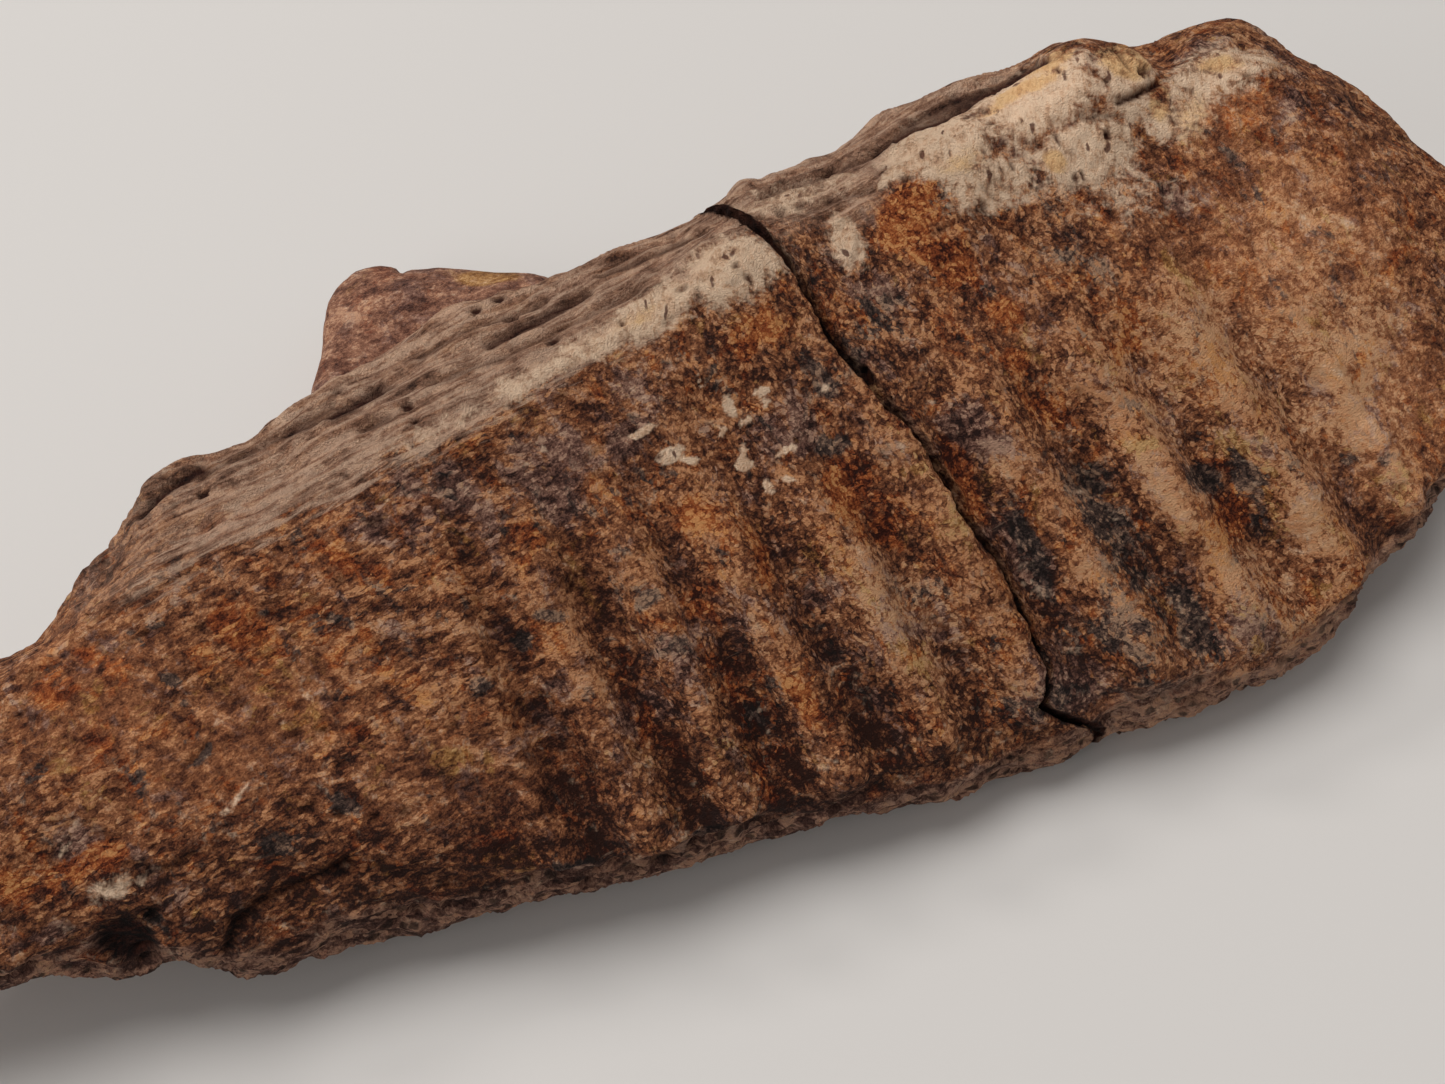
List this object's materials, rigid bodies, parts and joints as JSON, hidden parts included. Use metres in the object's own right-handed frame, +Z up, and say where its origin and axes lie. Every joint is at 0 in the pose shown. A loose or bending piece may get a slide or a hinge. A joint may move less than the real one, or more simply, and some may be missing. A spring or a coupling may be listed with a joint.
{
  "type": "fossil hadrosaur jaw",
  "caption": "Weathered fossil jawbone of a hadrosaur, broken across into fragments that lie fitted together, ribbed by worn tooth sockets, with its coronoid process.",
  "frame": {"origin": "centre of the bounding box's bottom face, on the surface that the bone lies on", "axes": "+X along the jaw towards its broad rounded end, +Y from the tooth-side face back to the coronoid process, +Z up"},
  "size_m": [0.1988, 0.0944, 0.0443],
  "materials": {
    "weathered_bone_tapered": "dry, dull, rough fossil bone",
    "weathered_bone_rounded": "dry, dull, rough fossil bone"
  },
  "bodies": {
    "root": {"tapered_fragment": "weathered_bone_tapered", "rounded_fragment": "weathered_bone_rounded"}
  },
  "joints": []
}
